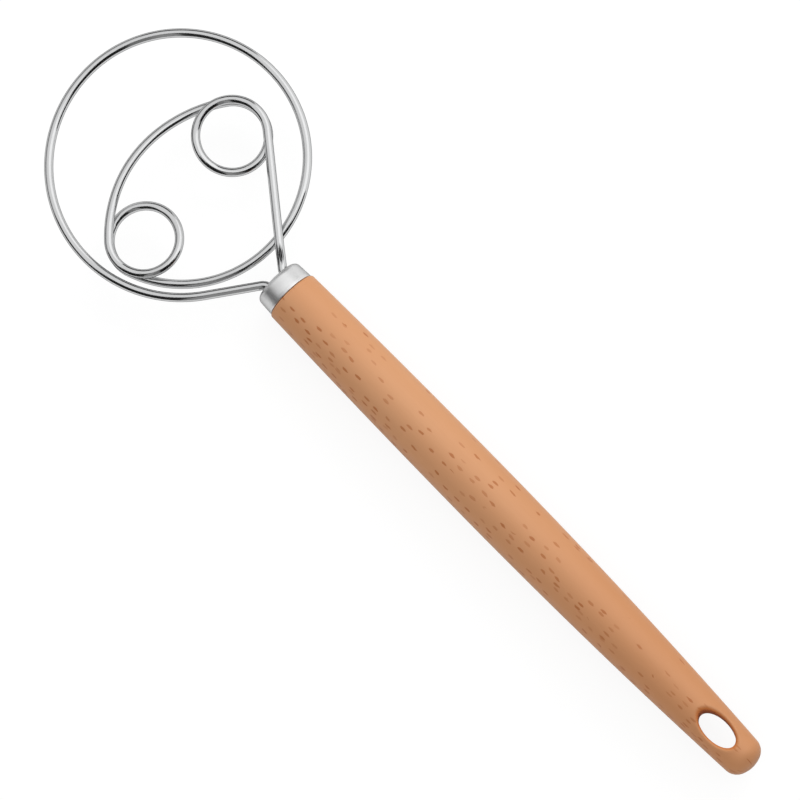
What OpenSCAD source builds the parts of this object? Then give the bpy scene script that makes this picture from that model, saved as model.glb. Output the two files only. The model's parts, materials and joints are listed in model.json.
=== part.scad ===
// Dough whisk: a flat head bent from one round wire, glued into a turned handle behind a steel cap.
// The pieces are drawn about the handle's axis, with +X towards the head and x = 0 at the seam between
// wood and cap, and place() then sets the tool down on z = 0 with its box centred on the origin.

/* [Handle] */
// Length of the wood behind the seam
handle_len = 220.4; // [160:0.1:300]
// Diameter of the wood at the seam
front_d = 19.4; // [18.9:0.1:21]
// Largest diameter of the wood
belly_d = 21.4; // [21.2:0.1:30]
// Distance of the largest diameter behind the seam
belly_back = 90; // [50:1:110]
// Diameter of the wood where the rounding of the butt begins
butt_d = 14.3; // [12:0.1:18]
// Radius of the dome on the butt
butt_dome_r = 9.8; // [8:0.1:12]
// Radius between the dome and the side
butt_edge_r = 5.3; // [1:0.1:5.5]
// Radius of the wood's front edge
front_edge_r = 0.6; // [0.1:0.05:0.75]

/* [Hanging slot] */
// Length of the oval slot, along the handle
slot_len = 15.6; // [10:0.1:20]
// Width of the oval slot
slot_w = 8.2; // [5:0.1:9]
// Distance from the butt to the middle of the slot
slot_back = 16.8; // [14:0.1:30]
// Radius that leads from the slot's wall into its flared rim
slot_rim_r = 2.5; // [1:0.1:4]
// Slope of the flared rim, in degrees from the wall
slot_flare = 30; // [15:1:45]
// Depth of the flared rim, from the top of the wood
slot_rim_depth = 3.8; // [2:0.1:5]

/* [Cap] */
// Length of the cap in front of the seam
cap_len = 7.2; // [5:0.1:12]
// Outer diameter of the cap at the seam
cap_rear_d = 18.5; // [18.2:0.1:18.8]
// Outer diameter of the cap before its rounded lip
cap_front_d = 18; // [17.6:0.1:18.2]
// Wall of the cap
cap_wall = 0.7; // [0.4:0.05:1]
// Outer radius of the cap's lip
cap_lip_r = 1.8; // [1:0.1:3]
// Gap that shows between the cap and the wood
seam_gap = 0.15; // [0.05:0.05:0.3]

/* [Wire] */
// Diameter of the wire
wire_d = 3.1; // [2:0.1:3.6]
// Gap left where the wire passes over itself
pass_gap = 0.5; // [0.45:0.05:1.5]
// Gap between the two tails
tail_gap = 3.6; // [1:0.1:4.5]
// Length of the tails behind the seam
tail_len = 38; // [20:1:60]
// Radius of the bend where each tail becomes a leg, on its centreline
bend_r = 3.8; // [3:0.1:6]
// Length over which the first leg rises above the ring
leg_rise = 9; // [6:0.5:11]

/* [Ring] */
// Radius of the ring where it starts, on its centreline
ring_r = 40.9; // [36:0.1:50]
// Growth of the ring's radius with each half turn
ring_step = 2.4; // [1.5:0.1:4]
// Distance of the ring's centre from the handle's axis
ring_side = 5.1; // [2:0.1:8]
// Distance from the cap to the near side of the ring, on its centreline
neck = 10.1; // [9:0.1:20]

/* [Loops] */
// Radius of the first loop, on its centreline
first_loop_r = 12.2; // [9:0.1:14]
// Distance of the first loop from the ring's centre
first_loop_out = 18.7; // [15:0.1:22]
// Direction of the first loop from the ring's centre
first_loop_turn = 255.6; // [245:0.1:265]
// Radius of the second loop, on its centreline
second_loop_r = 11.9; // [9:0.1:14]
// Direction in which the second loop lies against the ring
second_loop_turn = 109.5; // [100:0.1:120]
// Radius of the arch between the loops, on its centreline
arch_r = 46.4; // [40:0.1:60]

/* [Fits] */
// Clearance between the cap and the wood inside it, on the radius
cap_fit = 0.05; // [0.02:0.01:0.2]
// Clearance round the two tails where they pass through the cap
wire_fit = 0.3; // [0.2:0.05:0.6]
// Clearance of the glue from the wire and the wood
glue_fit = 0.05; // [0.02:0.01:0.1]
// Thickness of the glue between the tails and the wood
glue_wall = 0.8; // [0.5:0.1:2]

/* [Hidden] */

STEEL = [0.80, 0.81, 0.82];
SATIN = [0.72, 0.73, 0.74];
BEECH = [0.84, 0.61, 0.45];
GLUE = [0.78, 0.74, 0.62];
$fn = 96;
SIDES = 12;          // of the wire
LOOP_STEP = 10;      // degrees from ring to ring on a tight curve of the wire
WIDE_STEP = 5;       // degrees from ring to ring on a wide curve
LEG_STEP = wire_d;   // from ring to ring on a straight stretch that rises or falls
TAIL_STEP = 8 * wire_d; // from ring to ring along the straight tails
SLOT_POINTS = 48;    // round the slot
RIM_LAYERS = 4;      // round the curve of the slot's rim
PROFILE_POINTS = 14; // along each long curve of the handle
CORNER_POINTS = 6;   // along each rounded corner of the turned pieces
past = 1;            // how far a cut runs past a face

wire_r = wire_d / 2;
tail_y = (wire_d + tail_gap) / 2;
over = (wire_d + pass_gap) / 2; // height of an upper pass over the middle of the head
axis_z = max(belly_d, front_d) / 2;

// The wood inside the cap, and the bore for the tails
tenon_d = cap_front_d - 2 * cap_wall - 2 * cap_fit;
tenon_len = cap_len - cap_wall - max(cap_fit, cap_lip_r - cap_wall);
bore_d = 2 * (tail_y + wire_r + glue_fit + glue_wall + glue_fit);
glue_d = bore_d - 2 * glue_fit;
tail_bore_d = wire_d + 2 * glue_fit;
bore_back = tail_len + glue_wall + 2 * glue_fit;

// Plane geometry, in degrees from +X
function unit(a) = [cos(a), sin(a)];
function heading(v) = atan2(v[1], v[0]);
function onward(a, from) = a + 360 * ceil((from - a) / 360);

// The point that lies r1 from c1 and r2 from c2, on the left of the line between them
function meet(c1, r1, c2, r2) =
    let (l = norm(c2 - c1), e = (c2 - c1) / l, a = (l * l + r1 * r1 - r2 * r2) / (2 * l))
    c1 + a * e + sqrt(r1 * r1 - a * a) * [-e[1], e[0]];

// The wire's route. Every curve of the head turns left and lies inside the next one, tangent to it.
bend_x = cap_len - cap_wall;
bend_a = [bend_x, -tail_y - bend_r];
bend_b = [bend_x, tail_y + bend_r];
ring_c = [cap_len + neck + ring_r, -ring_side];
wide_c = ring_c + [ring_step, 0];
wide_r = ring_r + ring_step;
last_r = ring_r + 2 * ring_step;
first_c = ring_c + first_loop_out * unit(first_loop_turn);
second_c = ring_c + (ring_r - second_loop_r) * unit(second_loop_turn);
arch_c = meet(first_c, arch_r - first_loop_r, second_c, arch_r - second_loop_r);

// Directions of travel along the two legs, each tangent to its bend and to its curve
leg_a = heading(first_c - bend_a) - asin((first_loop_r + bend_r) / norm(first_c - bend_a));
leg_b = heading(bend_b - ring_c) + asin((last_r + bend_r) / norm(bend_b - ring_c));

// Angles at which the wire enters and leaves each curve
first_in = leg_a - 90;
first_out = onward(heading(first_c - arch_c), first_in + 360);
second_in = onward(heading(second_c - arch_c), first_out);
second_out = onward(second_loop_turn, second_in + 360);
ring_in = second_loop_turn;
ring_out = onward(leg_b - 90, 360);

// An upper pass stays level this far past the place where the lower pass leaves it
clear_turn = 50;
arch_clear = 0.12;
arch_up = 0.7;

function ease(t) = t * t * (3 - 2 * t);
function arc(c, r, from, to, z1, z2, step) =
    let (n = ceil((to > from ? to - from : from - to) / step))
    [for (i = [0 : n - 1]) let (t = i / n, p = c + r * unit(from + (to - from) * t))
        [p[0], p[1], z1 + (z2 - z1) * ease(t)]];
function line(p, q, z1, z2, step) =
    let (n = ceil(norm(q - p) / step))
    [for (i = [0 : n - 1]) let (t = i / n, m = p + (q - p) * t) [m[0], m[1], z1 + (z2 - z1) * ease(t)]];

leg_a_start = bend_a + bend_r * unit(90 + leg_a);
leg_a_end = first_c + first_loop_r * unit(first_in);
leg_a_level = leg_a_start + leg_rise * unit(leg_a);
leg_b_start = ring_c + last_r * unit(ring_out);
leg_b_end = bend_b + bend_r * unit(leg_b + 90);

route = concat(
    line([-tail_len, -tail_y], [bend_x, -tail_y], 0, 0, TAIL_STEP),
    arc(bend_a, bend_r, 90, 90 + leg_a, 0, 0, LOOP_STEP),
    line(leg_a_start, leg_a_level, 0, over, LEG_STEP / 2),
    line(leg_a_level, leg_a_end, over, over, LEG_STEP),
    arc(first_c, first_loop_r, first_in, first_out - 360 + clear_turn / 2, over, over, LOOP_STEP),
    arc(first_c, first_loop_r, first_out - 360 + clear_turn / 2, first_in + 360 - clear_turn,
        over, -over, LOOP_STEP),
    arc(first_c, first_loop_r, first_in + 360 - clear_turn, first_out, -over, -over, LOOP_STEP),
    arch_part(0, arch_clear, -over, -over),
    arch_part(arch_clear, arch_up, -over, over),
    arch_part(arch_up, 1, over, over),
    arc(second_c, second_loop_r, second_in, second_out - 360 + clear_turn, over, over, LOOP_STEP),
    arc(second_c, second_loop_r, second_out - 360 + clear_turn, second_in + 360 - clear_turn,
        over, -over, LOOP_STEP),
    arc(second_c, second_loop_r, second_in + 360 - clear_turn, second_out, -over, -over, LOOP_STEP),
    arc(ring_c, ring_r, ring_in, 180, -over, -over, WIDE_STEP),
    arc(wide_c, wide_r, 180, 180 + clear_turn, -over, -over, WIDE_STEP),
    arc(wide_c, wide_r, 180 + clear_turn, 360, -over, 0, WIDE_STEP),
    arc(ring_c, last_r, 360, ring_out, 0, 0, WIDE_STEP),
    line(leg_b_start, leg_b_end, 0, 0, LEG_STEP),
    arc(bend_b, bend_r, leg_b + 90, 270, 0, 0, LOOP_STEP),
    line([bend_x, tail_y], [-tail_len, tail_y], 0, 0, TAIL_STEP),
    [[-tail_len, tail_y, 0]]
);

function arch_part(t1, t2, z1, z2) =
    let (from = first_out, turn = second_in - first_out)
    arc(arch_c, arch_r, from + turn * t1, from + turn * t2, z1, z2, WIDE_STEP);

// Least gap of the wire to itself, from each point of the route to each stretch that isn't next to it
function to_stretch(p, a, b) = norm(p - a - (b - a) * min(1, max(0, (p - a) * (b - a) / ((b - a) * (b - a)))));
travel = [for (i = 0, s = 0; i < len(route);
    s = s + (i + 1 < len(route) ? norm(route[i + 1] - route[i]) : 0), i = i + 1) s];
next_to = 4 * wire_d;
gaps = [for (i = [0 : len(route) - 1], j = [0 : len(route) - 2])
    if (travel[j] - travel[i] > next_to || travel[i] - travel[j + 1] > next_to)
        to_stretch(route[i], route[j], route[j + 1]) - wire_d];
echo(least_gap_of_the_wire_to_itself = min(gaps), wire_length = travel[len(travel) - 1]);

// Box of the tool about the handle's axis
far_x = wide_c[0] + wide_r + wire_r;
side_lo = ring_c[1] - wide_r - wire_r;
side_hi = ring_c[1] + last_r + wire_r;
module place() {
    translate([(handle_len - far_x) / 2, -(side_lo + side_hi) / 2, axis_z]) children();
}

// The butt: a dome on the axis, and a smaller arc inside it, tangent to it and ending the side
dome_x = -handle_len + butt_dome_r;
edge_y = butt_d / 2 - butt_edge_r;
edge_x = dome_x - sqrt(pow(butt_dome_r - butt_edge_r, 2) - edge_y * edge_y);
dome_end = asin(edge_y / (butt_dome_r - butt_edge_r));

// Radius of the wood at a distance back from the seam: two arcs that share a tangent at the belly
function bulge(run, drop) = (run * run + drop * drop) / (2 * drop);
front_curve = bulge(belly_back, (belly_d - front_d) / 2);
rear_curve = bulge(-edge_x - belly_back, (belly_d - butt_d) / 2);
function wood_r(back) =
    let (run = back - belly_back, curve = run < 0 ? front_curve : rear_curve)
    belly_d / 2 - curve + sqrt(curve * curve - run * run);

function wood_profile() = concat(
    [[tenon_len, 0], [tenon_len, tenon_d / 2], [0, tenon_d / 2]],
    [for (i = [0 : CORNER_POINTS]) let (a = 90 * i / CORNER_POINTS)
        [-front_edge_r + front_edge_r * cos(a), front_d / 2 - front_edge_r + front_edge_r * sin(a)]],
    [for (i = [1 : PROFILE_POINTS]) let (b = belly_back * i / PROFILE_POINTS) [-b, wood_r(b)]],
    [for (i = [1 : PROFILE_POINTS]) let (b = belly_back - (edge_x + belly_back) * i / PROFILE_POINTS)
        [-b, wood_r(b)]],
    [for (i = [1 : CORNER_POINTS]) let (a = 90 + (90 - dome_end) * i / CORNER_POINTS)
        [edge_x + butt_edge_r * cos(a), edge_y + butt_edge_r * sin(a)]],
    [for (i = [1 : CORNER_POINTS]) let (a = dome_end * (1 - i / CORNER_POINTS))
        [dome_x - butt_dome_r * cos(a), butt_dome_r * sin(a)]]
);

module round_x(profile) {
    rotate([0, 90, 0]) rotate_extrude() polygon([for (p = profile) [p[1], p[0]]]);
}

module along_x(x, d, len) {
    translate([x, 0, 0]) rotate([0, 90, 0]) cylinder(d = d, h = len);
}

// A closed skin over equal rings of points
module skin(rings) {
    n = len(rings[0]);
    last = (len(rings) - 1) * n;
    polyhedron(
        points = [for (ring = rings, p = ring) p],
        faces = concat(
            [[for (k = [0 : n - 1]) k]],
            [for (i = [0 : len(rings) - 2], k = [0 : n - 1]) let (a = i * n + k, b = i * n + (k + 1) % n)
                each [[a, a + n, b], [b, a + n, b + n]]],
            [[for (k = [n - 1 : -1 : 0]) last + k]]
        )
    );
}

// The slot through the butt. Its wall is straight in the middle and flares towards both faces.
module slot_cut() {
    top = wood_r(handle_len - slot_back);
    roll = [for (i = [0 : RIM_LAYERS]) let (a = slot_flare * i / RIM_LAYERS)
        [top - slot_rim_depth + slot_rim_r * sin(a), slot_rim_r * (1 - cos(a))]];
    edge = roll[RIM_LAYERS];
    flare = concat(roll, [[top + past, edge[1] + (top + past - edge[0]) * tan(slot_flare)]]);
    layers = concat([for (i = [len(flare) - 1 : -1 : 0]) [-flare[i][0], flare[i][1]]], flare);
    translate([slot_back - handle_len, 0, 0])
        skin([for (l = layers) [for (k = [0 : SLOT_POINTS - 1]) let (a = 360 * (k + 0.5) / SLOT_POINTS)
            [(slot_len / 2 + l[1]) * cos(a), (slot_w / 2 + l[1]) * sin(a), l[0]]]]);
}

module whisk_wire() {
    last = len(route) - 1;
    color(STEEL) skin([for (i = [0 : last])
        let (
            t = (route[min(i + 1, last)] - route[max(i - 1, 0)]),
            ahead = t / norm(t),
            side = [-ahead[1], ahead[0], 0] / norm([ahead[0], ahead[1]]),
            up = cross(ahead, side)
        )
        [for (k = [0 : SIDES - 1]) let (a = 360 * k / SIDES)
            route[i] + wire_r * (cos(a) * side + sin(a) * up)]]);
}

module ferrule() {
    inner_lip_r = cap_lip_r - cap_wall;
    outer = concat(
        [[seam_gap, 0], [seam_gap, cap_rear_d / 2]],
        [for (i = [0 : CORNER_POINTS]) let (a = 90 - 90 * i / CORNER_POINTS)
            [cap_len - cap_lip_r + cap_lip_r * cos(a), cap_front_d / 2 - cap_lip_r + cap_lip_r * sin(a)]],
        [[cap_len, 0]]
    );
    inner_d = cap_front_d - 2 * cap_wall;
    color(SATIN) difference() {
        round_x(outer);
        along_x(-past, inner_d, past + cap_len - cap_wall - inner_lip_r);
        along_x(cap_len - cap_wall - inner_lip_r - past, inner_d - 2 * inner_lip_r, past + inner_lip_r);
        for (s = [-1, 1]) translate([0, s * tail_y, 0]) along_x(0, wire_d + 2 * wire_fit, cap_len + past);
        translate([0, -tail_y, -wire_r - wire_fit]) cube([cap_len + past, 2 * tail_y, wire_d + 2 * wire_fit]);
    }
}

module handle() {
    color(BEECH) difference() {
        round_x(wood_profile());
        along_x(-bore_back, bore_d, bore_back + tenon_len + past);
        slot_cut();
    }
}

module tail_glue() {
    back = bore_back - glue_fit;
    color(GLUE) difference() {
        along_x(-back, glue_d, back + tenon_len);
        for (s = [-1, 1]) translate([0, s * tail_y, 0])
            along_x(-tail_len - glue_fit, tail_bore_d, tail_len + glue_fit + tenon_len + past);
    }
}

place() whisk_wire();
place() ferrule();
place() handle();
place() tail_glue();
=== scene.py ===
"""Looks of a dough whisk: a head bent from one steel wire, a pressed steel cap and a turned beech handle.

Sizes are in millimetres about the handle's axis, with +X towards the head and x = 0 at the seam between
wood and cap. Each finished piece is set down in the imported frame, in metres, where the frame's handle lies.
"""

from __future__ import annotations

import json
import logging
import math
from dataclasses import dataclass
from enum import Enum
from typing import Callable, Iterator, Sequence

import bmesh
import bpy
from bpy.types import Material, Node, NodeSocket, NodeTree, Object
from mathutils import Matrix, Vector

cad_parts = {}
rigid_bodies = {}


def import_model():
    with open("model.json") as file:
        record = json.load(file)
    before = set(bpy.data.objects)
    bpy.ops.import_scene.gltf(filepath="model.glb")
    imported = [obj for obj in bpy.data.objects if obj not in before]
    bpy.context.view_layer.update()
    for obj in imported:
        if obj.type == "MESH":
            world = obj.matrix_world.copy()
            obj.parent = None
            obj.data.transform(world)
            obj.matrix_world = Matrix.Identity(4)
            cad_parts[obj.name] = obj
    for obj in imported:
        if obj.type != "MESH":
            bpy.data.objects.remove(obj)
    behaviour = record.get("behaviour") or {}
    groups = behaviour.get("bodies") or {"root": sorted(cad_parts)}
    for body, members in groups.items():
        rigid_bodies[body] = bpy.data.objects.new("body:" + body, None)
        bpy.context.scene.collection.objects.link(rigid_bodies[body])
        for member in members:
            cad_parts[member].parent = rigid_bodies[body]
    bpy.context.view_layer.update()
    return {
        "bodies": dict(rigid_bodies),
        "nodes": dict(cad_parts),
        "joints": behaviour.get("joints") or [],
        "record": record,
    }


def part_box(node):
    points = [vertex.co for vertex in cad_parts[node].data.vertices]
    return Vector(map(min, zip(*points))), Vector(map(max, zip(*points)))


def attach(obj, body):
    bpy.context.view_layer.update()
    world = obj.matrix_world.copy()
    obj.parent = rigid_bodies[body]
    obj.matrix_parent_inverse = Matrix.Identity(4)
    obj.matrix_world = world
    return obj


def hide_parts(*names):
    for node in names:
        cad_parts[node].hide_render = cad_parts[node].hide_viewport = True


log = logging.getLogger("dough_whisk")

MM = 0.001
BODY = "root"
SMOOTH_BELOW = math.radians(35)
WHITE = (1, 1, 1, 1)
# What the camera looks at, from the middle of the seam
AIM = (-50.971, -1.49, 0)

Point = tuple[float, float]
Socket = NodeSocket


class Turn(Enum):
    """Which way the wire bends, seen from above."""

    LEFT = 1
    RIGHT = -1


class Face(Enum):
    """The two sides of the handle on which the slot comes out."""

    UPPER = 1
    LOWER = -1


# Modelling steps that more than one piece uses


def clear_selection() -> None:
    """Go back to object mode with nothing selected."""
    if bpy.context.mode != "OBJECT":
        bpy.ops.object.mode_set(mode="OBJECT")
    bpy.ops.object.select_all(action="DESELECT")


def name_active(name: str) -> Object:
    """Give the new piece and its mesh their name.

    Args:
        name: The piece's name.

    Returns:
        The piece, which stays the active object.
    """
    piece = bpy.context.active_object
    piece.name = name
    piece.data.name = name
    return piece


def edit_active(parts: str) -> None:
    """Settle the active piece where it stands and start to edit all of it.

    Args:
        parts: What is selected by: VERT, EDGE or FACE.
    """
    bpy.ops.object.transform_apply(location=True, rotation=True, scale=True)
    bpy.ops.object.mode_set(mode="EDIT")
    bpy.ops.mesh.select_mode(type=parts)
    bpy.ops.mesh.select_all(action="SELECT")


def cut_out_faces(piece: Object, wanted: Callable[[Vector], bool]) -> None:
    """Take faces out of a skin.

    Args:
        piece: The piece in edit mode.
        wanted: Says of a face's middle whether the face goes.
    """
    bpy.ops.mesh.select_mode(type="FACE")
    bpy.ops.mesh.select_all(action="DESELECT")
    mesh = bmesh.from_edit_mesh(piece.data)
    for face in mesh.faces:
        face.select = wanted(face.calc_center_median())
    bmesh.update_edit_mesh(piece.data)
    bpy.ops.mesh.delete(type="FACE")


def turn_profile(name: str, profile: Sequence[Point], steps: int) -> Object:
    """Turn a drawn profile about the handle's axis, as on a lathe.

    Args:
        name: The piece's name.
        profile: Points (x, radius) in order along the profile.
        steps: How many facets go round the axis.

    Returns:
        The turned skin, left in edit mode.
    """
    clear_selection()
    x, radius = profile[0]
    bpy.ops.mesh.primitive_plane_add(size=1, location=(x, 0, radius))
    piece = name_active(name)
    edit_active("VERT")
    bpy.ops.mesh.merge(type="CENTER")
    for (x1, r1), (x2, r2) in zip(profile, profile[1:]):
        bpy.ops.mesh.extrude_region_move(TRANSFORM_OT_translate={"value": (x2 - x1, 0, r2 - r1)})
    bpy.ops.mesh.select_all(action="SELECT")
    bpy.ops.mesh.spin(steps=steps, angle=math.tau, center=(0, 0, 0), axis=(1, 0, 0))
    bpy.ops.mesh.select_all(action="SELECT")
    bpy.ops.mesh.remove_doubles(threshold=0.0005)
    return piece


def select_open_borders(piece: Object, wanted: Callable[[Vector], bool] = lambda at: True) -> None:
    """Select the open borders of a skin, and nothing else.

    Args:
        piece: The piece in edit mode.
        wanted: Says of a point whether its border is to be selected.
    """
    bpy.ops.mesh.select_mode(type="EDGE")
    bpy.ops.mesh.select_all(action="DESELECT")
    mesh = bmesh.from_edit_mesh(piece.data)
    for edge in mesh.edges:
        if edge.is_boundary and wanted((edge.verts[0].co + edge.verts[1].co) / 2):
            edge.select = True
    bmesh.update_edit_mesh(piece.data)


def finish_mesh(piece: Object) -> None:
    """Turn the faces outwards, smooth them and leave edit mode.

    Args:
        piece: The piece in edit mode.
    """
    bpy.ops.mesh.select_all(action="SELECT")
    bpy.ops.mesh.normals_make_consistent(inside=False)
    clear_selection()
    piece.select_set(True)
    bpy.context.view_layer.objects.active = piece
    bpy.ops.object.shade_smooth_by_angle(angle=SMOOTH_BELOW)
    piece.select_set(False)


def arc_points(centre: Point, radius: float, start: float, end: float, count: int) -> Iterator[Point]:
    """Give the points of an arc in the profile's plane, both ends included.

    Args:
        centre: The arc's centre.
        radius: The arc's radius.
        start: Angle of the first point, in degrees from +X.
        end: Angle of the last point.
        count: How many steps the arc has.

    Returns:
        The points in order.
    """
    for i in range(count + 1):
        a = math.radians(start + (end - start) * i / count)
        yield centre[0] + radius * math.cos(a), centre[1] + radius * math.sin(a)


@dataclass
class RimmedHole:
    """A hole drawn in from the open border of a skin, ring by ring, with a rounded rim.

    Places on the hole are u and v across it and w along it.
    """

    centre: Vector
    u_axis: Vector
    v_axis: Vector
    rim_reach: float
    rim_depth: float
    lead_rings: int
    rim_rings: int

    @property
    def w_axis(self) -> Vector:
        """The direction of the hole's own axis."""
        return self.u_axis.cross(self.v_axis)

    def reach(self, angle: float, offset: float) -> float:
        """Give how far the hole's outline, moved out by offset, lies from its middle at an angle."""
        raise NotImplementedError

    def level(self, u: float, v: float) -> float:
        """Give the skin's own place along w."""
        raise NotImplementedError

    def _place_ring(self, piece: Object, spot: Callable[[float, float], Point]) -> None:
        """Extrude the selected border and move its new points.

        Args:
            piece: The piece in edit mode, with the border selected.
            spot: Takes a point's angle and distance from the middle and gives its new distance and its w.
        """
        bpy.ops.mesh.extrude_edges_move()
        mesh = bmesh.from_edit_mesh(piece.data)
        for vert in mesh.verts:
            if not vert.select:
                continue
            away = vert.co - self.centre
            u, v = away.dot(self.u_axis), away.dot(self.v_axis)
            angle = math.atan2(v, u)
            distance, w = spot(angle, math.hypot(u, v))
            vert.co = (
                self.centre
                + self.u_axis * (distance * math.cos(angle))
                + self.v_axis * (distance * math.sin(angle))
                + self.w_axis * w
            )
        bmesh.update_edit_mesh(piece.data)

    def draw_in(self, piece: Object) -> None:
        """Draw the selected border in to the hole's rim and round the rim over into its wall.

        Args:
            piece: The piece in edit mode, with the border selected.
        """
        for ring in range(self.lead_rings):
            share = 1 / (self.lead_rings - ring)

            def lead(angle: float, distance: float, share: float = share) -> Point:
                """Move a point of the border a share of its way to the rim, on the skin."""
                new = distance + (self.reach(angle, self.rim_reach) - distance) * share
                return new, self.level(new * math.cos(angle), new * math.sin(angle))

            self._place_ring(piece, lead)
        for ring in range(1, self.rim_rings + 1):
            a = math.pi / 2 * ring / self.rim_rings
            offset = self.rim_reach * (1 - math.sin(a))
            drop = self.rim_depth * (1 - math.cos(a))

            def roll(angle: float, _: float, offset: float = offset, drop: float = drop) -> Point:
                """Put a point on the rim's rounding, below the skin."""
                new = self.reach(angle, offset)
                return new, self.level(new * math.cos(angle), new * math.sin(angle)) - drop

            self._place_ring(piece, roll)


# Shader nodes


class Board:
    """Places shader nodes in one tree and wires them up."""

    def __init__(self, tree: NodeTree) -> None:
        """Take the tree to work in."""
        self.tree = tree

    def feed(self, node: Node, inputs: dict) -> None:
        """Set a node's inputs.

        Args:
            node: The node.
            inputs: Input names or numbers, each with a value or with a socket to wire in.
        """
        for key, value in inputs.items():
            if isinstance(value, Socket):
                self.tree.links.new(value, node.inputs[key])
            else:
                node.inputs[key].default_value = value

    def put(self, kind: str, inputs: dict | None = None, **settings: object) -> Node:
        """Add a node.

        Args:
            kind: The node's type name, without its ShaderNode prefix.
            inputs: What goes into it, as for feed.
            settings: The node's own options.

        Returns:
            The new node.
        """
        node = self.tree.nodes.new("ShaderNode" + kind)
        for option, value in settings.items():
            setattr(node, option, value)
        self.feed(node, inputs or {})
        return node

    def shared(self, group: NodeTree, inputs: dict) -> Socket:
        """Use a shared group and give its result."""
        return self.put("Group", inputs, node_tree=group).outputs[0]

    def maths(self, operation: str, a: object, b: object = 0.0, clamp: bool = False) -> Socket:
        """Do one sum on two values or sockets and give its result."""
        return self.put("Math", {0: a, 1: b}, operation=operation, use_clamp=clamp).outputs[0]

    def plus(self, a: object, b: object) -> Socket:
        """Add two values or sockets."""
        return self.maths("ADD", a, b)

    def times(self, a: object, b: object) -> Socket:
        """Multiply two values or sockets."""
        return self.maths("MULTIPLY", a, b)

    def vector(self, operation: str, *inputs: object) -> Socket:
        """Do one sum on vectors and give its result."""
        return self.put("VectorMath", dict(enumerate(inputs)), operation=operation).outputs[0]

    def blend(self, amount: object, a: object, b: object) -> Socket:
        """Mix two colours by an amount and give the result."""
        return self.put("Mix", {0: amount, 6: a, 7: b}, data_type="RGBA").outputs[2]

    def remap(self, value: object, low: object, high: object, to_low: float = 0.0, to_high: float = 1.0,
              smooth: bool = True) -> Socket:
        """Bring a value from one range to another.

        Args:
            value: The value.
            low: Start of its range.
            high: End of its range, which may be the smaller number.
            to_low: What the start becomes.
            to_high: What the end becomes.
            smooth: Whether the way between the two eases in and out.

        Returns:
            The value in its new range, which it never leaves.
        """
        kind = "SMOOTHSTEP" if smooth else "LINEAR"
        names = {"Value": value, 1: low, 2: high, 3: to_low, 4: to_high}
        return self.put("MapRange", names, interpolation_type=kind).outputs[0]

    def background_rays(self) -> Socket:
        """Tell the rays by which the camera, metal and glass see the background from all others.

        Returns:
            1 on those rays and 0 on the others.
        """
        path = self.put("LightPath").outputs
        in_metal_or_glass = self.maths("MAXIMUM", path["Is Glossy Ray"], path["Is Transmission Ray"])
        return self.maths("MAXIMUM", path["Is Camera Ray"], in_metal_or_glass)


def new_group(name: str, takes: dict[str, str], gives: str) -> tuple[Board, Node, Node]:
    """Start a shader node group with named sockets.

    Args:
        name: The group's name.
        takes: Input names, each with its socket's type.
        gives: Name of the one value that comes out.

    Returns:
        A board on the group's tree, and its input and output nodes.
    """
    tree = bpy.data.node_groups.new(name, "ShaderNodeTree")
    for socket, kind in takes.items():
        tree.interface.new_socket(socket, in_out="INPUT", socket_type="NodeSocket" + kind)
    tree.interface.new_socket(gives, in_out="OUTPUT", socket_type="NodeSocketFloat")
    return Board(tree), tree.nodes.new("NodeGroupInput"), tree.nodes.new("NodeGroupOutput")


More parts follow.
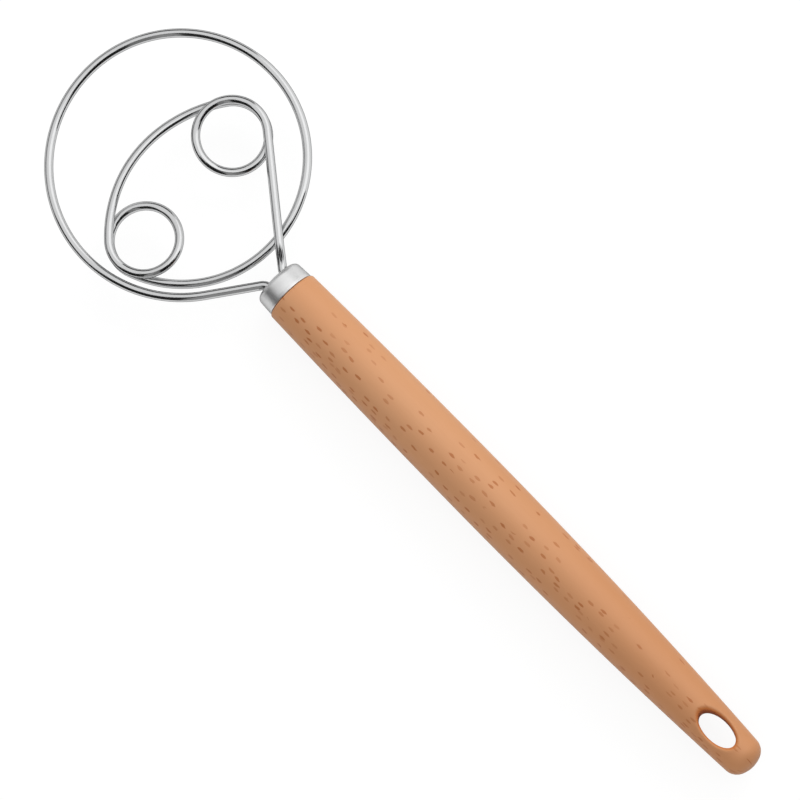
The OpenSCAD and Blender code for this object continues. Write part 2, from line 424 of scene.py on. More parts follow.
class Effects:
    """Shader groups that several finishes share, each built once."""

    def __init__(self) -> None:
        """Build every group."""
        self.streaks = self._streaks()
        self.mottle = self._mottle()
        self.flecks = self._flecks()

    @staticmethod
    def _streaks() -> NodeTree:
        """Fine lines drawn out along one direction.

        Returns:
            The group, which takes a place, the lines' repeats in a metre and how much they waver, and gives
            0 to 1.
        """
        takes = {"Place": "Vector", "Lines": "Vector", "Waver": "Float"}
        board, given, out = new_group("streaks", takes, "Line")
        noise = board.put("TexNoise", {
            "Vector": board.vector("MULTIPLY", given.outputs["Place"], given.outputs["Lines"]),
            "Scale": 1.0, "Detail": 3.0, "Roughness": 0.6, "Distortion": given.outputs["Waver"],
        })
        board.feed(out, {"Line": board.remap(noise.outputs[0], 0.3, 0.7)})
        return board.tree

    @staticmethod
    def _mottle() -> NodeTree:
        """Broad soft patches.

        Returns:
            The group, which takes a place and the patches' repeats in a metre, and gives 0 to 1.
        """
        board, given, out = new_group("mottle", {"Place": "Vector", "Patches": "Vector"}, "Patch")
        noise = board.put("TexNoise", {
            "Vector": board.vector("MULTIPLY", given.outputs["Place"], given.outputs["Patches"]),
            "Scale": 1.0, "Detail": 2.0, "Roughness": 0.5,
        })
        board.feed(out, {"Patch": board.remap(noise.outputs[0], 0.28, 0.72)})
        return board.tree

    @staticmethod
    def _flecks() -> NodeTree:
        """Short ragged dashes along the grain, where rays of the wood come to the surface.

        Each cell of the pattern holds one dash or none.

        Returns:
            The group, which takes a place, the cells' repeats in a metre, a dash's size as a part of its cell
            and the share of cells that hold one, and gives 1 in a full dash and 0 beside it.
        """
        takes = {"Place": "Vector", "Spacing": "Vector", "Size": "Float", "Cover": "Float"}
        board, given, out = new_group("flecks", takes, "Fleck")
        raggedness = (0.34, 0.34, 0.34)
        sharp_part, faintest = 0.65, 0.4
        drawn = board.vector("MULTIPLY", given.outputs["Place"], given.outputs["Spacing"])
        noise = board.put("TexNoise", {"Vector": drawn, "Scale": 2.6, "Detail": 2.0}).outputs[1]
        offset = board.vector("SUBTRACT", noise, (0.5, 0.5, 0.5))
        bent = board.vector("MULTIPLY_ADD", offset, raggedness, drawn)
        cell = board.put(
            "TexVoronoi", {"Vector": bent, "Scale": 1.0, "Randomness": 1.0}, voronoi_dimensions="2D"
        ).outputs
        draws = board.put("SeparateColor", {0: cell["Color"]}).outputs
        kept = board.maths("LESS_THAN", draws[0], given.outputs["Cover"])
        size = given.outputs["Size"]
        spot = board.remap(cell["Distance"], size, board.times(size, sharp_part))
        faint = board.remap(draws[1], 0, 1, faintest, 1.0)
        board.feed(out, {"Fleck": board.times(board.times(spot, kept), faint)})
        return board.tree


def new_material(name: str) -> tuple[Material, Board, Node]:
    """Start a material.

    Args:
        name: The material's name.

    Returns:
        The material, a board on its tree and its Principled shader.
    """
    material = bpy.data.materials.new(name)
    material.use_nodes = True
    return material, Board(material.node_tree), material.node_tree.nodes["Principled BSDF"]


def dress(piece: Object, material: Material) -> None:
    """Give a piece its one material."""
    piece.data.materials.clear()
    piece.data.materials.append(material)


@dataclass(frozen=True)
class Beech:
    """Smooth turned beech with short darker flecks along its grain.

    Patterns are given by their repeats in a metre: along the axis, and the two ways across it. Ranges along
    the axis are in metres from the seam. Skin_shift, in metres too, is a place in the endless fleck pattern
    at which the flecks fall well.
    """

    light: tuple = (0.645, 0.306, 0.136, 1)
    deep: tuple = (0.575, 0.240, 0.088, 1)
    patches: tuple = (9, 60, 60)
    patch_share: float = 0.6
    grain: tuple = (22, 1500, 1500)
    grain_share: float = 0.10
    butt_range: tuple = (-0.20, -0.05)
    butt_share: float = 0.85
    fleck: tuple = (0.430, 0.120, 0.016, 1)
    fleck_spacing: tuple = (178, 540, 0)
    fleck_size: float = 0.27
    fleck_share: float = 0.9
    fleck_side: float = 35.0
    side_cover: tuple = (0.16, 0.66)
    crowds: tuple = (25, 70, 70)
    crowd_cover: tuple = (0.50, 1.25)
    front_range: tuple = (-0.16, 0)
    front_cover: tuple = (0.75, 1.40)
    skin_radius: float = 10.0
    skin_shift: float = 0.5
    # Darker brown of the slot's wall: partly its end grain, partly painted shade in the recess
    end_grain_and_shade: tuple = (0.560, 0.165, 0.025, 1)
    end_grain_and_shade_share: float = 0.9
    cut_edge: float = 1.22
    cut_roughness: float = 0.4
    pores: tuple = (220, 5200, 5200)
    pore_depth: float = 0.5
    fleck_depth: float = -0.6
    roughness: tuple = (0.48, 0.57)
    gloss: float = 0.7

    def material(self, effects: Effects, slot: "OvalSlot", axis: Vector) -> Material:
        """Build the finish.

        Args:
            effects: The shared shader groups.
            slot: The hanging slot, whose wall is darker, partly for its end grain and partly as painted shade
                in the recess.
            axis: Where the seam's middle lies in the frame, in metres.

        Returns:
            The material.
        """
        material, board, shader = new_material("turned_beech")
        place = board.put("TexCoord").outputs["Object"]
        patch = board.shared(effects.mottle, {"Place": place, "Patches": self.patches})
        grain = board.shared(effects.streaks, {"Place": place, "Lines": self.grain, "Waver": 0.2})
        skin, along, lean = self._round_the_axis(board, place, axis)
        colour = board.blend(board.times(patch, self.patch_share), self.light, self.deep)
        colour = board.blend(board.times(grain, self.grain_share), colour, self.deep)
        colour = board.blend(board.remap(along, *self.butt_range, self.butt_share, 0.0), colour, self.deep)

        flecks = board.shared(effects.flecks, {
            "Place": skin, "Spacing": self.fleck_spacing, "Size": self.fleck_size,
            "Cover": self._fleck_cover(board, effects, place, along, lean),
        })
        colour = board.blend(board.times(flecks, self.fleck_share), colour, self.fleck)
        # Darken the slot's wall: partly its end grain, partly painted shade in the recess
        wall = self._slot_wall(board, place, slot, axis)
        colour = board.blend(board.times(wall, self.end_grain_and_shade_share), colour, self.end_grain_and_shade)

        pores = board.shared(effects.streaks, {"Place": place, "Lines": self.pores, "Waver": 0.1})
        height = board.plus(board.times(pores, self.pore_depth), board.times(flecks, self.fleck_depth))
        bump = board.put("Bump", {"Strength": 0.12, "Distance": 0.00008, "Height": height})
        rough = board.remap(pores, 0, 1, *self.roughness)
        rough = board.maths("ADD", rough, board.times(wall, self.cut_roughness), clamp=True)
        board.feed(shader, {
            "Base Color": colour, "Roughness": rough, "Specular IOR Level": self.gloss,
            "Normal": bump.outputs[0],
        })
        return material

    def _round_the_axis(self, board: Board, place: Socket, axis: Vector) -> tuple[Socket, Socket, Socket]:
        """Lay the wood's skin out flat: along the axis, and round it at a middling radius.

        Args:
            board: The material's board.
            place: Object coordinates.
            axis: Where the seam's middle lies in the frame, in metres.

        Returns:
            The place on the skin and the distance along the axis, in metres, and the angle round the axis
            from the top, in radians.
        """
        parts = board.put("SeparateXYZ", {0: board.vector("SUBTRACT", place, axis)}).outputs
        lean = board.maths("ARCTAN2", parts["Y"], parts["Z"])
        across = board.plus(board.times(lean, self.skin_radius * MM), self.skin_shift)
        return board.put("CombineXYZ", {0: parts["X"], 1: across}).outputs[0], parts["X"], lean

    def _fleck_cover(
        self, board: Board, effects: Effects, place: Socket, along: Socket, lean: Socket
    ) -> Socket:
        """Say how crowded the flecks are: most on two opposite sides, in loose crowds and near the front.

        Args:
            board: The material's board.
            effects: The shared shader groups.
            place: Object coordinates.
            along: Distance along the axis.
            lean: Angle round the axis.

        Returns:
            The share of the pattern's cells that hold a fleck.
        """
        from_side = board.maths("SUBTRACT", lean, math.radians(self.fleck_side))
        facing = board.maths("COSINE", board.times(from_side, 2.0))
        crowd = board.shared(effects.mottle, {"Place": place, "Patches": self.crowds})
        by_side = board.remap(facing, -1, 1, *self.side_cover)
        by_crowd = board.remap(crowd, 0, 1, *self.crowd_cover)
        by_front = board.remap(along, *self.front_range, *self.front_cover)
        return board.times(by_side, board.times(by_crowd, by_front))

    def _slot_wall(self, board: Board, place: Socket, slot: "OvalSlot", axis: Vector) -> Socket:
        """Find the slot's wall, which gets the darker colour: its end grain and painted shade in the recess.

        Args:
            board: The material's board.
            place: Object coordinates.
            slot: The hanging slot.
            axis: Where the seam's middle lies in the frame, in metres.

        Returns:
            A mask that is 1 on the wall and 0 outside the slot's rim.
        """
        middle = axis + slot.centre * MM
        inside = board.put("Mapping", {
            "Vector": place, "Location": (middle.x, middle.y, 0),
            "Scale": (slot.length / 2 * MM, slot.width / 2 * MM, 1),
        }, vector_type="TEXTURE").outputs[0]
        flat = board.vector("MULTIPLY", inside, (1, 1, 0))
        away = board.put("VectorMath", {0: flat}, operation="LENGTH").outputs["Value"]
        return board.remap(away, self.cut_edge, 1.0)


@dataclass(frozen=True)
class Steel:
    """Stainless steel, with fine marks along one direction, given by their repeats in a metre."""

    name: str
    tint: tuple
    roughness: float
    marks: tuple
    mark_depth: float
    use_uv: bool = False
    edge: tuple = (0.03, 0.03, 0.03, 1)
    spread: float = 0.05
    patches: tuple = (160, 160, 160)
    patch_share: float = 0.4
    worn: float = 0.86
    worn_share: float = 0.35

    def material(self, effects: Effects) -> Material:
        """Build the finish.

        Args:
            effects: The shared shader groups.

        Returns:
            The material.
        """
        material, board, shader = new_material(self.name)
        places = board.put("TexCoord").outputs
        marked = places["UV" if self.use_uv else "Object"]
        lines = board.shared(effects.streaks, {"Place": marked, "Lines": self.marks, "Waver": 0.0})
        patch = board.shared(effects.mottle, {"Place": places["Object"], "Patches": self.patches})
        mixed = board.plus(board.times(lines, 1 - self.patch_share), board.times(patch, self.patch_share))
        rough = board.remap(mixed, 0, 1, self.roughness - self.spread, self.roughness + self.spread)
        bump = board.put("Bump", {"Strength": self.mark_depth, "Distance": 0.00002, "Height": lines})
        dull = tuple(part * self.worn for part in self.tint[:3]) + (1,)
        tone = board.blend(board.times(mixed, self.worn_share), self.tint, dull)
        board.feed(shader, {
            "Base Color": tone, "Metallic": 1.0, "Roughness": rough, "Specular Tint": self.edge,
            "Normal": bump.outputs[0],
        })
        return material


@dataclass(frozen=True)
class Adhesive:
    """Cured adhesive, slightly clouded."""

    clear: tuple = (0.60, 0.55, 0.40, 1)
    cloudy: tuple = (0.50, 0.44, 0.30, 1)
    clouds: tuple = (500, 500, 500)
    roughness: float = 0.4

    def material(self, effects: Effects) -> Material:
        """Build the finish.

        Args:
            effects: The shared shader groups.

        Returns:
            The material.
        """
        material, board, shader = new_material("cured_adhesive")
        place = board.put("TexCoord").outputs["Object"]
        patch = board.shared(effects.mottle, {"Place": place, "Patches": self.clouds})
        bump = board.put("Bump", {"Strength": 0.3, "Distance": 0.0001, "Height": patch})
        tone = board.blend(patch, self.clear, self.cloudy)
        board.feed(shader, {"Base Color": tone, "Roughness": self.roughness, "Normal": bump.outputs[0]})
        return material


# The tool's pieces


@dataclass
class Piece:
    """What every new piece shares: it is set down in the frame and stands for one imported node."""

    node: str
    slot_name: str
    name: str

    def set_down(self, piece: Object, axis: Vector, material: Material) -> None:
        """Bring a piece from the handle's axis and millimetres into the frame, dress it and place it.

        Args:
            piece: The finished piece.
            axis: Where the seam's middle lies in the frame, in metres.
            material: The piece's finish.
        """
        piece.data.transform(Matrix.Translation(axis) @ Matrix.Scale(MM, 4))
        dress(piece, material)
        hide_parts(self.node)
        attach(piece, BODY)
        log.info("%s: %d faces in place of %s", piece.name, len(piece.data.polygons), self.node)


@dataclass
class OvalSlot(RimmedHole):
    """The hanging slot where it comes out on one side of the handle."""

    length: float
    width: float
    wood_radius: Callable[[float], float]

    def reach(self, angle: float, offset: float) -> float:
        """Give how far the oval, moved out by offset, lies from its middle at an angle."""
        a, b = self.length / 2 + offset, self.width / 2 + offset
        return a * b / math.hypot(b * math.cos(angle), a * math.sin(angle))

    def level(self, u: float, v: float) -> float:
        """Give the height of the wood's skin above the middle of the handle."""
        radius = self.wood_radius(self.centre.x + u)
        return math.sqrt(max(radius * radius - v * v, 0.0))


@dataclass
class TailHole(RimmedHole):
    """The oblong opening in the cap's front wall, round both tails of the wire."""

    between: float
    width: float
    front: float

    def reach(self, angle: float, offset: float) -> float:
        """Measure the oblong's outline.

        Args:
            angle: The way from its middle, in radians.
            offset: How far the outline is moved out.

        Returns:
            How far the outline lies from the middle that way.
        """
        radius, half = self.width / 2 + offset, self.between / 2
        along, up = abs(math.cos(angle)), abs(math.sin(angle))
        if up > 0 and radius / up * along <= half:
            return radius / up
        return half * along + math.sqrt(radius * radius - (half * up) ** 2)

    def level(self, u: float, v: float) -> float:
        """Give the place of the cap's flat front."""
        return self.front


@dataclass
class TurnedHandle(Piece):
    """The beech handle, turned, bored for the tails and slotted for a hook."""

    length: float = 220.4
    front_d: float = 19.4
    belly_d: float = 21.4
    belly_back: float = 90.0
    butt_d: float = 14.3
    butt_dome_r: float = 9.8
    butt_edge_r: float = 5.3
    front_edge_r: float = 0.6
    tenon_d: float = 16.5
    tenon_len: float = 5.4
    tenon_edge: float = 0.3
    bore_d: float = 11.6
    bore_back: float = 38.9
    slot_len: float = 15.6
    slot_w: float = 8.2
    slot_back: float = 16.8
    rim_reach: float = 1.6
    rim_depth: float = 2.0
    facets: int = 96
    window_half: float = 10.6
    window_turn: float = 58.0
    side_step: float = 2.4
    slot_step: float = 0.95
    slot_margin: float = 4.0

    def __post_init__(self) -> None:
        """Work out the arcs that the profile is made of."""
        self.dome_x = self.butt_dome_r - self.length
        self.edge_y = self.butt_d / 2 - self.butt_edge_r
        inner = self.butt_dome_r - self.butt_edge_r
        self.edge_x = self.dome_x - math.sqrt(inner**2 - self.edge_y**2)
        self.dome_end = math.degrees(math.asin(self.edge_y / inner))
        self.slot_x = self.slot_back - self.length

    @staticmethod
    def _bulge(run: float, drop: float) -> float:
        """Give the radius of an arc that drops by this much over this run."""
        return (run * run + drop * drop) / (2 * drop)

    def wood_radius(self, x: float) -> float:
        """Measure the wood between its front edge and the butt's edge.

        Args:
            x: The place along the axis.

        Returns:
            The wood's radius there.
        """
        run = -x - self.belly_back
        if run < 0:
            curve = self._bulge(self.belly_back, (self.belly_d - self.front_d) / 2)
        else:
            curve = self._bulge(-self.edge_x - self.belly_back, (self.belly_d - self.butt_d) / 2)
        return self.belly_d / 2 - curve + math.sqrt(curve * curve - run * run)

    def _stations(self) -> Iterator[float]:
        """Step along the long sides, in short steps round the slot.

        Returns:
            The places along the axis, from the front to the butt.
        """
        x = -self.front_edge_r
        while x > self.edge_x:
            yield x
            near = abs(x - self.slot_x) < self.window_half + self.slot_margin
            x -= self.slot_step if near else self.side_step

    def profile(self) -> list[Point]:
        """Draw the whole profile.

        Returns:
            Its points, from the end of the bore round to the butt.
        """
        bore, tenon, end = self.bore_d / 2, self.tenon_d / 2, self.tenon_len
        edge_centre = (-self.front_edge_r, self.front_d / 2 - self.front_edge_r)
        points: list[Point] = [(-self.bore_back, 0), (-self.bore_back, bore), (end, bore)]
        points += [(end, tenon - self.tenon_edge), (end - self.tenon_edge, tenon), (0, tenon)]
        points += list(arc_points(edge_centre, self.front_edge_r, 0, 90, count=5))[:-1]
        points += [(x, self.wood_radius(x)) for x in self._stations()]
        points += arc_points((self.edge_x, self.edge_y), self.butt_edge_r, 90, 180 - self.dome_end, count=10)
        dome = arc_points((self.dome_x, 0), self.butt_dome_r, 180 - self.dome_end, 180, count=10)
        points += list(dome)[1:]
        points[-1] = (points[-1][0], 0)
        return points

    def slot(self, face: Face) -> OvalSlot:
        """Describe the slot as it comes out on one side.

        Args:
            face: The side.

        Returns:
            The slot's opening there.
        """
        sign = float(face.value)
        return OvalSlot(
            centre=Vector((self.slot_x, 0, 0)), u_axis=Vector((1, 0, 0)), v_axis=Vector((0, sign, 0)),
            rim_reach=self.rim_reach, rim_depth=self.rim_depth, lead_rings=4, rim_rings=9,
            length=self.slot_len, width=self.slot_w, wood_radius=self.wood_radius,
        )

    def _open_window(self, piece: Object, face: Face) -> None:
        """Take out the faces of the skin round the place where the slot comes out.

        Args:
            piece: The turned skin in edit mode.
            face: The side to open.
        """

        def near_slot(at: Vector) -> bool:
            """Say whether a place on the skin is near the slot on that side."""
            lean = math.degrees(math.atan2(abs(at.y), face.value * at.z))
            return abs(at.x - self.slot_x) < self.window_half and lean < self.window_turn

        cut_out_faces(piece, near_slot)

    def build(self) -> Object:
        """Turn the wood and open the slot through it.

        Returns:
            The handle, in millimetres about its axis.
        """
        piece = turn_profile(self.name, self.profile(), self.facets)
        for face in Face:
            self._open_window(piece, face)
            select_open_borders(piece, lambda at, face=face: at.z * face.value > 0)
            self.slot(face).draw_in(piece)
        select_open_borders(piece)
        bpy.ops.mesh.bridge_edge_loops(number_cuts=6, interpolation="LINEAR", smoothness=0)
        finish_mesh(piece)
        return piece


@dataclass
class SteelCap(Piece):
    """The pressed steel cap, with a rounded lip and an oblong opening for the tails."""

    length: float = 7.2
    rear_d: float = 18.5
    front_d: float = 18.0
    wall: float = 0.7
    lip_r: float = 1.8
    rear_roll: float = 0.3
    seam_gap: float = 0.15
    wire_d: float = 3.1
    wire_fit: float = 0.3
    tail_y: float = 3.35
    rim_r: float = 0.18
    flat_r: float = 6.2
    facets: int = 96

    def profile(self) -> list[Point]:
        """Draw the wall's profile.

        Returns:
            Its points, from the flat front round the outside and back along the inside.
        """
        lip_x, lip_y = self.length - self.lip_r, self.front_d / 2 - self.lip_r
        inner_lip = self.lip_r - self.wall
        inner_r = self.front_d / 2 - self.wall
        roll = self.rear_roll
        back, flare = self.seam_gap + roll - lip_x, (self.rear_d - self.front_d) / 2
        points: list[Point] = [(self.length, self.flat_r)]
        points += arc_points((lip_x, lip_y), self.lip_r, 0, 90, count=14)
        points += [(lip_x + back * share, self.front_d / 2 + flare * share) for share in (0.25, 0.5, 0.75)]
        points += arc_points((self.seam_gap + roll, self.rear_d / 2 - roll), roll, 90, 180, count=5)
        points += [(self.seam_gap, inner_r)]
        points += arc_points((lip_x, lip_y), inner_lip, 90, 0, count=6)
        points += [(self.length - self.wall, self.flat_r)]
        return points

    def tail_hole(self, outside: bool) -> TailHole:
        """Describe the opening as it shows on one side of the front wall.

        Args:
            outside: Whether it is the outside.

        Returns:
            The opening there.
        """
        sign = 1.0 if outside else -1.0
        return TailHole(
            centre=Vector((0, 0, 0)), u_axis=Vector((0, 1, 0)), v_axis=Vector((0, 0, sign)),
            rim_reach=self.rim_r, rim_depth=self.rim_r, lead_rings=5, rim_rings=4,
            between=2 * self.tail_y, width=self.wire_d + 2 * self.wire_fit,
            front=self.length if outside else self.wall - self.length,
        )

    def build(self) -> Object:
        """Turn the cap's wall and draw its front in to the opening.

        Returns:
            The cap, in millimetres about the handle's axis.
        """
        piece = turn_profile(self.name, self.profile(), self.facets)
        halfway = self.length - self.wall / 2
        for outside in (True, False):
            select_open_borders(piece, lambda at, outside=outside: (at.x > halfway) == outside)
            self.tail_hole(outside).draw_in(piece)
        select_open_borders(piece)
        bpy.ops.mesh.bridge_edge_loops()
        finish_mesh(piece)
        return piece


@dataclass(frozen=True)
class Run:
    """One stretch of the wire, straight or bent about one centre."""

    length: float
    rise_to: float
    steps: int
    radius: float = 0.0
    turn: Turn = Turn.LEFT


def ease(t: float) -> float:
    """Give a share that starts and ends level."""
    return t * t * (3 - 2 * t)


def unit(angle: float) -> Vector:
    """Give the flat direction at an angle in degrees from +X."""
    return Vector((math.cos(math.radians(angle)), math.sin(math.radians(angle))))


def heading(way: Vector) -> float:
    """Give the angle of a flat direction, in degrees from +X."""
    return math.degrees(math.atan2(way.y, way.x))


def onward(angle: float, start: float) -> float:
    """Give the same angle, whole turns on, at or after a start."""
    return angle + 360 * math.ceil((start - angle) / 360)


def meet(centre_1: Vector, radius_1: float, centre_2: Vector, radius_2: float) -> Vector:
    """Find the point at given distances from two centres, on the left of the line between them.

    Args:
        centre_1: The first centre.
        radius_1: How far the point lies from it.
        centre_2: The second centre.
        radius_2: How far the point lies from that one.

    Returns:
        The point.
    """
    way = centre_2 - centre_1
    along = way.normalized()
    a = (way.length_squared + radius_1**2 - radius_2**2) / (2 * way.length)
    return centre_1 + along * a + Vector((-along.y, along.x)) * math.sqrt(radius_1**2 - a * a)


@dataclass
class WireHead(Piece):
    """One length of round wire, bent into a ring, an arch and two small loops, with both tails in the wood.

    Every curve of the head turns left and lies inside the next one, tangent to it.
    """

    wire_d: float = 3.1
    pass_gap: float = 0.5
    tail_gap: float = 3.6
    tail_len: float = 38.0
    cap_len: float = 7.2
    cap_wall: float = 0.7
    bend_r: float = 3.8
    leg_rise: float = 9.0
    ring_r: float = 40.9
    ring_step: float = 2.4
    ring_side: float = 5.1
    neck: float = 10.1
    first_loop_r: float = 12.2
    first_loop_out: float = 18.7
    first_loop_turn: float = 255.6
    second_loop_r: float = 11.9
    second_loop_turn: float = 109.5
    arch_r: float = 46.4
    clear_turn: float = 50.0
    arch_clear: float = 0.12
    arch_up: float = 0.7
    sides: int = 28
    loop_step: float = 3.0
    wide_step: float = 1.8
    rise_step: float = 0.8

    def __post_init__(self) -> None:
        """Work out the height of an upper pass over the middle of the head."""
        self.over = (self.wire_d + self.pass_gap) / 2
        self.tail_y = (self.wire_d + self.tail_gap) / 2

    def _bend(self, radius: float, start: float, end: float, rise_to: float, step: float) -> Run:
        """Describe a bend about one centre.

        Args:
            radius: The bend's radius.
            start: The angle about the centre at which it starts, in degrees.
            end: The angle at which it ends, smaller than the start where the wire bends to the right.
            rise_to: The wire's height at its end.
            step: How many degrees one step of it has.

        Returns:
            The bend.
        """
        angle = end - start
        turn = Turn.LEFT if angle > 0 else Turn.RIGHT
        length = radius * math.radians(abs(angle))
        return Run(length, rise_to, math.ceil(abs(angle) / step), radius, turn)

    def _straight(self, length: float, rise_to: float, level: bool = True) -> Run:
        """Give a straight stretch, in one step where it is level."""
        return Run(length, rise_to, 1 if level else math.ceil(length / self.rise_step))

    def route(self) -> list[Run]:
        """Work out how the wire runs, with each stretch tangent to the next.

        Returns:
            The stretches in order, from the end of one tail to the end of the other.
        """
        over, loop, wide = self.over, self.loop_step, self.wide_step
        bend_x = self.cap_len - self.cap_wall
        bend_a = Vector((bend_x, -self.tail_y - self.bend_r))
        bend_b = Vector((bend_x, self.tail_y + self.bend_r))
        ring_c = Vector((self.cap_len + self.neck + self.ring_r, -self.ring_side))
        wide_r, last_r = self.ring_r + self.ring_step, self.ring_r + 2 * self.ring_step
        first_c = ring_c + unit(self.first_loop_turn) * self.first_loop_out
        second_c = ring_c + unit(self.second_loop_turn) * (self.ring_r - self.second_loop_r)
        arch_c = meet(first_c, self.arch_r - self.first_loop_r, second_c, self.arch_r - self.second_loop_r)

        to_first, from_ring = first_c - bend_a, bend_b - ring_c
        lean_a = math.degrees(math.asin((self.first_loop_r + self.bend_r) / to_first.length))
        lean_b = math.degrees(math.asin((last_r + self.bend_r) / from_ring.length))
        leg_a, leg_b = heading(to_first) - lean_a, heading(from_ring) + lean_b
        leg_a_start = bend_a + unit(leg_a + 90) * self.bend_r
        leg_a_run = (first_c + unit(leg_a - 90) * self.first_loop_r - leg_a_start).length
        first_in = leg_a - 90
        first_out = onward(heading(first_c - arch_c), first_in + 360)
        second_in = onward(heading(second_c - arch_c), first_out)
        second_out = onward(self.second_loop_turn, second_in + 360)
        ring_out = onward(leg_b - 90, 360)
        leg_b_end = bend_b + unit(leg_b + 90) * self.bend_r
        leg_b_run = (ring_c + unit(ring_out) * last_r - leg_b_end).length

        clear = self.clear_turn
        first_turns = (first_in, first_out - 360 + clear / 2, first_in + 360 - clear, first_out)
        second_turns = (second_in, second_out - 360 + clear, second_in + 360 - clear, second_out)
        arch = second_in - first_out
        arch_turns = [first_out + arch * share for share in (0, self.arch_clear, self.arch_up, 1)]

        runs = [self._straight(self.tail_len + bend_x, 0), self._bend(self.bend_r, 0, leg_a, 0, loop)]
        runs += [self._straight(self.leg_rise, over, False), self._straight(leg_a_run - self.leg_rise, over)]
        for radius, step, angles, heights in (
            (self.first_loop_r, loop, first_turns, (over, -over, -over)),
            (self.arch_r, wide, arch_turns, (-over, over, over)),
            (self.second_loop_r, loop, second_turns, (over, -over, -over)),
            (self.ring_r, wide, (self.second_loop_turn, 180), (-over,)),
            (wide_r, wide, (180, 180 + clear, 360), (-over, 0)),
            (last_r, wide, (360, ring_out), (0,)),
        ):
            runs += [self._bend(radius, a, b, z, step) for a, b, z in zip(angles, angles[1:], heights)]
        runs += [self._straight(leg_b_run, 0), self._bend(self.bend_r, leg_b + 90, 270, 0, loop)]
        runs += [self._straight(self.tail_len + bend_x, 0)]
        return runs

    def _form(self, runs: Sequence[Run]) -> tuple[list[float], list[float]]:
        """Draw out and bend the selected end of the wire, run by run, flat.

        Args:
            runs: The stretches of the wire.

        Returns:
            The height and the distance along the wire of each ring of points.
        """
        at, way, height, travel = Vector((-self.tail_len, -self.tail_y)), 0.0, 0.0, 0.0
        heights, travels = [height], [travel]
        for run in runs:
            forward, turn = unit(way), run.turn.value
            if run.radius:
                centre = at + Vector((-forward.y, forward.x)) * turn * run.radius
                angle = run.length / run.radius
                bpy.ops.mesh.spin(steps=run.steps, angle=-angle * turn, center=(*centre, 0), axis=(0, 0, 1))
                way += math.degrees(angle) * turn
                forward = unit(way)
                at = centre - Vector((-forward.y, forward.x)) * turn * run.radius
            else:
                step = forward * (run.length / run.steps)
                for _ in range(run.steps):
                    bpy.ops.mesh.extrude_region_move(TRANSFORM_OT_translate={"value": (*step, 0)})
                at += step * run.steps
            for i in range(1, run.steps + 1):
                heights.append(height + (run.rise_to - height) * ease(i / run.steps))
                travels.append(travel + run.length * i / run.steps)
            height, travel = run.rise_to, travel + run.length
        log.info("wire formed: %.1f mm, ends at %.3f, %.3f", travel, *at)
        return heights, travels

    def _unwrap(self, piece: Object, travels: Sequence[float]) -> None:
        """Lay a map along the wire, in metres: across is the way round it, and up is the way along it.

        Args:
            piece: The wire.
            travels: The distance of each ring along the wire, in millimetres.
        """
        layer = piece.data.uv_layers.new(name="along_wire")
        round_step = math.pi * self.wire_d * MM / self.sides
        for face in piece.data.polygons:
            ends = [v % self.sides for v in face.vertices]
            wraps = max(ends) - min(ends) > 1
            for loop, vertex in zip(face.loop_indices, face.vertices):
                ring, side = divmod(vertex, self.sides)
                if wraps and side == 0:
                    side = self.sides
                layer.data[loop].uv = (side * round_step, travels[min(ring, len(travels) - 1)] * MM)

    def build(self) -> Object:
        """Form the wire from a ring of points, lift its passes and close its ends.

        Returns:
            The wire, in millimetres about the handle's axis.
        """
        clear_selection()
        start = (-self.tail_len, -self.tail_y, 0)
        bpy.ops.mesh.primitive_circle_add(
            vertices=self.sides, radius=self.wire_d / 2, location=start, rotation=(0, math.pi / 2, 0)
        )
        piece = name_active(self.name)
        edit_active("EDGE")
        heights, travels = self._form(self.route())
        bpy.ops.object.mode_set(mode="OBJECT")
        for index, vert in enumerate(piece.data.vertices):
            vert.co.z += heights[index // self.sides]
        self._unwrap(piece, travels)
        bpy.ops.object.mode_set(mode="EDIT")
        select_open_borders(piece)
        bpy.ops.mesh.fill_holes(sides=0)
        finish_mesh(piece)
        return piece


@dataclass
class TailGlue:
    """The adhesive round the tails, whose packed form is right and only needs its finish."""

    node: str = "tail_glue"

    def build(self, frame: dict, effects: Effects) -> None:
        """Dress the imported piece.

        Args:
            effects: The shared shader groups.
        """
        piece = frame["nodes"][self.node]
        dress(piece, Adhesive().material(effects))
        log.info("%s: packed form kept", piece.name)


# The table, lamp and camera


@dataclass(frozen=True)
class Card:
    """One curved grey card of the tent round the table, which shows in the metal only.

    Its edges are given in degrees: start and end round the table from +X, top and foot down from straight up.
    """

    name: str
    start: float
    end: float
    top: float
    foot: float
    tone: float
    reach: float = 1.2

    def build(self, middle: Vector) -> None:
        """Cut the card from a ball round the tool.

        Args:
            middle: The middle of the tent, in metres.
        """
        clear_selection()
        bpy.ops.mesh.primitive_uv_sphere_add(segments=72, ring_count=36, radius=self.reach, location=middle)
        card = name_active(self.name)

        def outside(at: Vector) -> bool:
            """Compare a place on the ball with the card's edges.

            Args:
                at: The place, in metres.

            Returns:
                Whether it lies outside the card.
            """
            away = at - middle
            down = math.degrees(math.acos(away.z / away.length))
            return not (self.top < down < self.foot and onward(heading(away), self.start) < self.end)

        edit_active("FACE")
        cut_out_faces(card, outside)
        clear_selection()
        material, board, shader = new_material(self.name)
        board.feed(shader, {
            "Base Color": (0, 0, 0, 1), "Specular IOR Level": 0.0,
            "Emission Color": WHITE, "Emission Strength": self.tone,
        })
        dress(card, material)
        for ray in ("camera", "diffuse", "shadow", "transmission", "volume_scatter"):
            setattr(card, "visible_" + ray, False)


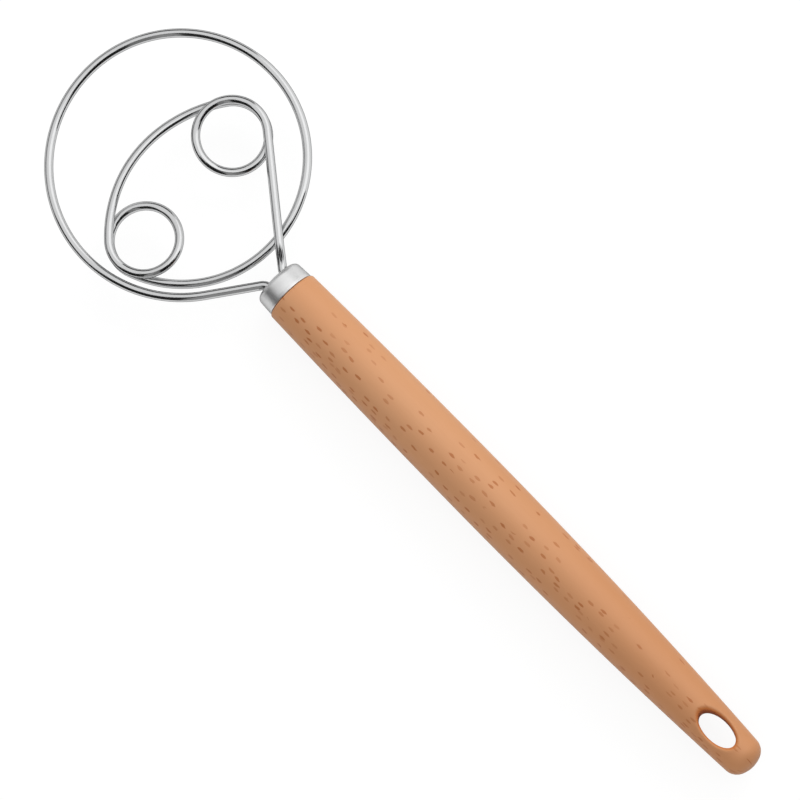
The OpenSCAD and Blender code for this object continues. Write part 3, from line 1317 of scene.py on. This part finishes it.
@dataclass
class Studio:
    """A plain white table, soft light and a camera at the photograph's angle, with places in metres."""

    target: Vector
    distance: float = 1.89894
    focal_px: float = 5700.0
    frame_px: float = 800.0
    sensor: float = 36.0
    lean_x: float = 9.3
    lean_y: float = 3.0
    right_turn: float = 225.530
    sky_light: float = 0.80
    key_place: tuple = (0.55, -1.20, 0.65)
    key_size: float = 1.1
    key_power: float = 11.4
    table_size: float = 6.0
    table_tone: float = 0.16
    table_glow: float = 0.87
    cards: tuple[Card, ...] = (
        Card("light_card", 220, 290, 0, 60, 1.4),
        Card("black_card_high", 160, 190, 15, 95, 0.01),
        Card("black_card_middle", 190, 205, 30, 95, 0.01),
        Card("black_card_low", 205, 220, 55, 95, 0.03),
        Card("grey_card", 145, 160, 5, 95, 0.24),
        Card("grey_card_paler", 130, 145, 5, 95, 0.36),
        Card("dark_card_high", 100, 130, 10, 95, 0.02),
        Card("dark_card_middle", 80, 100, 25, 95, 0.02),
        Card("dark_card_low", 55, 80, 50, 95, 0.04),
        Card("pale_card_middle", -25, 55, 45, 65, 0.70),
        Card("pale_card_low", -25, 55, 65, 95, 0.22),
        Card("side_card_low", -70, -25, 55, 95, 0.10),
    )
    tent_shift: tuple = (0.1116, -0.0036, 0)

    def camera(self) -> None:
        """Place the camera over the tool."""
        away_x = -math.sin(math.radians(self.lean_x))
        away_y = math.sin(math.radians(self.lean_y))
        back = Vector((away_x, away_y, math.sqrt(1 - away_x**2 - away_y**2)))
        right = unit(self.right_turn).to_3d()
        right = (right - back * right.dot(back)).normalized()
        up = back.cross(right)
        bpy.ops.object.camera_add()
        camera = bpy.context.active_object
        camera.name = "camera"
        camera.matrix_world = Matrix.Translation(self.target + back * self.distance) @ Matrix(
            (right, up, back)
        ).transposed().to_4x4()
        camera.data.sensor_width = self.sensor
        camera.data.lens = self.focal_px / self.frame_px * self.sensor
        camera.data.clip_start = 0.05
        camera.data.clip_end = 20
        bpy.context.scene.camera = camera

    def lamp(self) -> None:
        """Add the one square soft lamp, which points at the tool and doesn't show in the metal."""
        bpy.ops.object.light_add(type="AREA", location=self.key_place)
        lamp = bpy.context.active_object
        lamp.name = "key_lamp"
        lamp.data.size = self.key_size
        lamp.data.energy = self.key_power
        lamp.rotation_euler = (Vector(self.key_place) - self.target).to_track_quat("Z", "Y").to_euler()
        lamp.visible_glossy = False

    def table(self) -> None:
        """Lay the white table, which keeps the tool's shadow."""
        clear_selection()
        bpy.ops.mesh.primitive_plane_add(size=self.table_size, location=(0, 0, 0))
        table = name_active("table")
        material, board, shader = new_material("white_table")
        glow = board.times(board.background_rays(), self.table_glow)
        board.feed(shader, {
            "Base Color": (*(self.table_tone,) * 3, 1), "Roughness": 1.0, "Specular IOR Level": 0.0,
            "Emission Color": WHITE, "Emission Strength": glow,
        })
        dress(table, material)

    def sky(self) -> None:
        """Fill the room with even light and show it white to the camera and in the metal."""
        world = bpy.data.worlds.new("room")
        world.use_nodes = True
        bpy.context.scene.world = world
        board = Board(world.node_tree)
        background = world.node_tree.nodes["Background"]
        strength = board.remap(board.background_rays(), 0, 1, self.sky_light, 1.0, smooth=False)
        board.feed(background, {"Color": WHITE, "Strength": strength})

    def build(self) -> None:
        """Set up the whole studio."""
        self.camera()
        self.table()
        self.sky()
        self.lamp()
        for card in self.cards:
            card.build(self.target + Vector(self.tent_shift))
        bpy.context.scene.view_settings.view_transform = "Standard"


def main() -> None:
    """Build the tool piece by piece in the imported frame, then the studio."""
    logging.basicConfig(level=logging.INFO, format="%(message)s")
    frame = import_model()
    effects = Effects()

    handle = TurnedHandle(node="handle", slot_name="beech", name="turned_handle")
    low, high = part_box("handle")
    axis = Vector((low.x + handle.length * MM, (low.y + high.y) / 2, low.z + handle.belly_d / 2 * MM))

    wood = Beech().material(effects, handle.slot(Face.UPPER), axis)
    handle.set_down(handle.build(), axis, wood)

    cap = SteelCap(node="ferrule", slot_name="cap_steel", name="steel_cap")
    satin = Steel(
        "satin_cap_steel", tint=(0.84, 0.84, 0.84, 1), roughness=0.44, marks=(3500, 60, 60), mark_depth=0.12
    )
    cap.set_down(cap.build(), axis, satin.material(effects))

    head = WireHead(node="whisk_wire", slot_name="wire_steel", name="wire_head")
    polished = Steel(
        "polished_wire_steel", tint=(0.62, 0.623, 0.627, 1), roughness=0.13, marks=(3000, 40, 40),
        mark_depth=0.06, use_uv=True,
    )
    head.set_down(head.build(), axis, polished.material(effects))

    TailGlue().build(frame, effects)
    Studio(target=axis + Vector(AIM) * MM).build()


if __name__ == "__main__":
    main()
